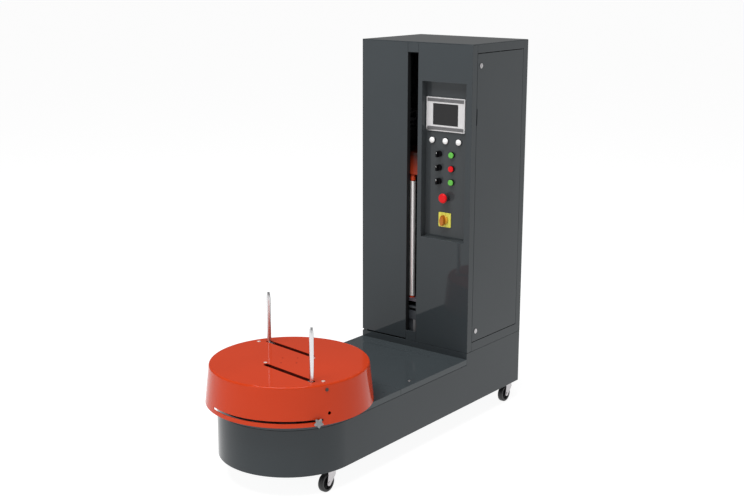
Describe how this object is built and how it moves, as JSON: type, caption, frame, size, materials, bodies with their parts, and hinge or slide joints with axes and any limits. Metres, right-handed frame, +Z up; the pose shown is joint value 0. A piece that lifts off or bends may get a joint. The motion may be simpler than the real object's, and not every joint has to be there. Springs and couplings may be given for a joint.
{
  "type": "turntable wrapper",
  "caption": "Turntable stretch wrapper for suitcases: a round drum with two adjustable pins on a low base, and a tall cabinet with a film slot, lifting film carriage and recessed controls.",
  "frame": {"origin": "on the floor, at the centre of the machine's plan", "axes": "+Z up; Y along the machine, -Y the turntable end and +Y the cabinet end; X across it, +X the side with the door"},
  "size_m": [0.694, 1.665, 1.726],
  "materials": {
    "grey_paint": "semi-gloss dark grey powder coat",
    "orange_paint": "gloss orange-red enamel",
    "zinc_plate": "bright zinc plate",
    "wheel_rubber": "matt black rubber tread",
    "frame_paint": "satin grey primer",
    "machine_paint": "satin blue-grey enamel",
    "machined_steel": "machined, lightly oiled",
    "belt_rubber": "matt black rubber",
    "knob_grey": "moulded grey nylon",
    "polished_chrome": "polished",
    "black_plastic": "fine-textured black",
    "silver_plastic": "satin silver lacquer",
    "screen_glass": "dark glossy display cover",
    "lamp_white": "translucent white lens",
    "button_green": "moulded green",
    "button_red": "moulded red",
    "switch_yellow": "moulded yellow",
    "switch_orange": "moulded red-orange",
    "cutter_grey": "satin dark grey",
    "electrical_grey": "light grey moulded housings"
  },
  "bodies": {
    "root": {"base_shell": "grey_paint", "front_deck_cover": "grey_paint", "rear_deck_cover": "grey_paint", "left_panel": "grey_paint", "right_front_panel": "grey_paint", "slot_plates": "grey_paint", "right_side_frame": "grey_paint", "rear_panel": "grey_paint", "cabinet_top": "grey_paint", "control_tray": "grey_paint", "base_floor": "grey_paint", "deck_screws": "zinc_plate", "caster_plates": "zinc_plate", "turntable_stand": "frame_paint", "cabinet_frame": "frame_paint", "mast": "frame_paint", "turntable_motor": "machine_paint", "lift_motor": "machine_paint", "turntable_belt": "belt_rubber", "power_inlet": "black_plastic", "device_bezels": "black_plastic", "hmi_housing": "silver_plastic", "hmi_screen": "screen_glass", "pilot_lamps": "lamp_white", "main_switch_plate": "switch_yellow", "film_cutter_box": "cutter_grey", "electrical_plate": "electrical_grey"},
    "turntable": {"turntable_drum": "orange_paint", "drum_screws": "zinc_plate", "turntable_spindle": "machined_steel"},
    "motor_pulley": {"motor_pulley": "machined_steel"},
    "adjuster": {"cam_disc": "machined_steel"},
    "star_knob": {"star_knob": "knob_grey"},
    "left_pin": {"left_pin": "polished_chrome"},
    "right_pin": {"right_pin": "polished_chrome"},
    "carriage": {"carriage_frame": "frame_paint", "carriage_head": "orange_paint"},
    "guide_roller": {"guide_roller": "polished_chrome"},
    "tension_roller": {"tension_roller": "belt_rubber"},
    "film_mandrel": {"film_mandrel": "black_plastic"},
    "lift_screw": {"lift_screw": "machined_steel"},
    "side_door": {"side_door": "grey_paint"},
    "upper_lock": {"upper_lock": "zinc_plate"},
    "lower_lock": {"lower_lock": "zinc_plate"},
    "button_upper": {"button_upper_green": "button_green"},
    "button_middle": {"button_red": "button_red"},
    "button_lower": {"button_lower_green": "button_green"},
    "selector_upper": {"selector_upper": "black_plastic"},
    "selector_middle": {"selector_middle": "black_plastic"},
    "selector_lower": {"selector_lower": "black_plastic"},
    "estop": {"estop_head": "button_red"},
    "main_switch": {"main_switch_handle": "switch_orange"},
    "caster_fork_1": {"caster_fork_1": "zinc_plate"},
    "caster_wheel_1": {"caster_wheel_1": "wheel_rubber"},
    "caster_fork_2": {"caster_fork_2": "zinc_plate"},
    "caster_wheel_2": {"caster_wheel_2": "wheel_rubber"},
    "caster_fork_3": {"caster_fork_3": "zinc_plate"},
    "caster_wheel_3": {"caster_wheel_3": "wheel_rubber"},
    "caster_fork_4": {"caster_fork_4": "zinc_plate"},
    "caster_wheel_4": {"caster_wheel_4": "wheel_rubber"}
  },
  "joints": [
    {"name": "turntable_spin", "type": "hinge", "parent": "root", "child": "turntable", "pos_m": [0, -0.4855, 0.32], "axis": [0, 0, 1], "continuous": true},
    {"name": "motor_pulley_spin", "type": "hinge", "parent": "root", "child": "motor_pulley", "pos_m": [0, -0.1555, 0.2], "axis": [0, 0, 1], "continuous": true},
    {"name": "cam_turn", "type": "hinge", "parent": "turntable", "child": "adjuster", "pos_m": [0, -0.4855, 0.452], "axis": [0, 0, -1], "range_deg": [0, 77]},
    {"name": "star_knob_turn", "type": "hinge", "parent": "adjuster", "child": "star_knob", "pos_m": [0.31082, -0.66713, 0.3375], "axis": [0.8634, -0.5045, 0], "range_deg": [0, 180]},
    {"name": "left_pin_slide", "type": "slide", "parent": "turntable", "child": "left_pin", "axis": [0.9903, -0.1392, 0], "range_m": [0, 0.24]},
    {"name": "right_pin_slide", "type": "slide", "parent": "turntable", "child": "right_pin", "axis": [-0.9903, 0.1392, 0], "range_m": [0, 0.24]},
    {"name": "carriage_lift", "type": "slide", "parent": "root", "child": "carriage", "axis": [0, 0, 1], "range_m": [0, 0.45]},
    {"name": "guide_roller_spin", "type": "hinge", "parent": "carriage", "child": "guide_roller", "pos_m": [-0.041, 0.4225, 0.8], "axis": [0, 0, 1], "continuous": true},
    {"name": "tension_roller_spin", "type": "hinge", "parent": "carriage", "child": "tension_roller", "pos_m": [-0.075, 0.5675, 0.8], "axis": [0, 0, 1], "continuous": true},
    {"name": "film_mandrel_spin", "type": "hinge", "parent": "carriage", "child": "film_mandrel", "pos_m": [0.105, 0.5995, 0.8], "axis": [0, 0, 1], "continuous": true},
    {"name": "lift_screw_spin", "type": "hinge", "parent": "root", "child": "lift_screw", "pos_m": [0.06, 0.745, 1], "axis": [0, 0, 1], "range_deg": [0, 4051]},
    {"name": "door_open", "type": "hinge", "parent": "root", "child": "side_door", "pos_m": [0.2965, 0.788, 1], "axis": [0, 0, 1], "range_deg": [0, 110]},
    {"name": "upper_lock_turn", "type": "hinge", "parent": "side_door", "child": "upper_lock", "pos_m": [0.3, 0.4425, 1.632], "axis": [1, 0, 0], "range_deg": [0, 90]},
    {"name": "lower_lock_turn", "type": "hinge", "parent": "side_door", "child": "lower_lock", "pos_m": [0.3, 0.4425, 0.437], "axis": [1, 0, 0], "range_deg": [0, 90]},
    {"name": "button_upper_press", "type": "slide", "parent": "root", "child": "button_upper", "axis": [0, 1, 0], "range_m": [0, 0.004], "stiffness_N_per_m": 300, "springref_m": -0.001},
    {"name": "button_middle_press", "type": "slide", "parent": "root", "child": "button_middle", "axis": [0, 1, 0], "range_m": [0, 0.004], "stiffness_N_per_m": 300, "springref_m": -0.001},
    {"name": "button_lower_press", "type": "slide", "parent": "root", "child": "button_lower", "axis": [0, 1, 0], "range_m": [0, 0.004], "stiffness_N_per_m": 300, "springref_m": -0.001},
    {"name": "selector_upper_turn", "type": "hinge", "parent": "root", "child": "selector_upper", "pos_m": [0.109, 0.4145, 1.234], "axis": [0, 1, 0], "range_deg": [-45, 45]},
    {"name": "selector_middle_turn", "type": "hinge", "parent": "root", "child": "selector_middle", "pos_m": [0.109, 0.4145, 1.172], "axis": [0, 1, 0], "range_deg": [-45, 45]},
    {"name": "selector_lower_turn", "type": "hinge", "parent": "root", "child": "selector_lower", "pos_m": [0.109, 0.4145, 1.111], "axis": [0, 1, 0], "range_deg": [-45, 45]},
    {"name": "estop_press", "type": "slide", "parent": "root", "child": "estop", "axis": [0, 1, 0], "range_m": [0, 0.005]},
    {"name": "main_switch_turn", "type": "hinge", "parent": "root", "child": "main_switch", "pos_m": [0.1435, 0.4145, 0.937], "axis": [0, 1, 0], "range_deg": [0, 90]},
    {"name": "caster_1_swivel", "type": "hinge", "parent": "root", "child": "caster_fork_1", "pos_m": [-0.254, -0.5415, 0.085], "axis": [0, 0, 1], "continuous": true},
    {"name": "caster_2_swivel", "type": "hinge", "parent": "root", "child": "caster_fork_2", "pos_m": [0.254, -0.5415, 0.085], "axis": [0, 0, 1], "continuous": true},
    {"name": "caster_3_swivel", "type": "hinge", "parent": "root", "child": "caster_fork_3", "pos_m": [-0.264, 0.7825, 0.085], "axis": [0, 0, 1], "continuous": true},
    {"name": "caster_4_swivel", "type": "hinge", "parent": "root", "child": "caster_fork_4", "pos_m": [0.264, 0.7825, 0.085], "axis": [0, 0, 1], "continuous": true},
    {"name": "caster_1_roll", "type": "hinge", "parent": "caster_fork_1", "child": "caster_wheel_1", "pos_m": [-0.254, -0.5595, 0.04], "axis": [1, 0, 0], "continuous": true},
    {"name": "caster_2_roll", "type": "hinge", "parent": "caster_fork_2", "child": "caster_wheel_2", "pos_m": [0.254, -0.5595, 0.04], "axis": [1, 0, 0], "continuous": true},
    {"name": "caster_3_roll", "type": "hinge", "parent": "caster_fork_3", "child": "caster_wheel_3", "pos_m": [-0.264, 0.7645, 0.04], "axis": [1, 0, 0], "continuous": true},
    {"name": "caster_4_roll", "type": "hinge", "parent": "caster_fork_4", "child": "caster_wheel_4", "pos_m": [0.264, 0.7645, 0.04], "axis": [1, 0, 0], "continuous": true}
  ],
  "couplings": [
    {"joint": "motor_pulley_spin", "follows": "turntable_spin", "ratio": 4.2857},
    {"joint": "left_pin_slide", "follows": "cam_turn", "m_per_rad": 0.17858},
    {"joint": "right_pin_slide", "follows": "cam_turn", "m_per_rad": 0.17858},
    {"joint": "lift_screw_spin", "follows": "carriage_lift", "rad_per_m": 157.08}
  ]
}
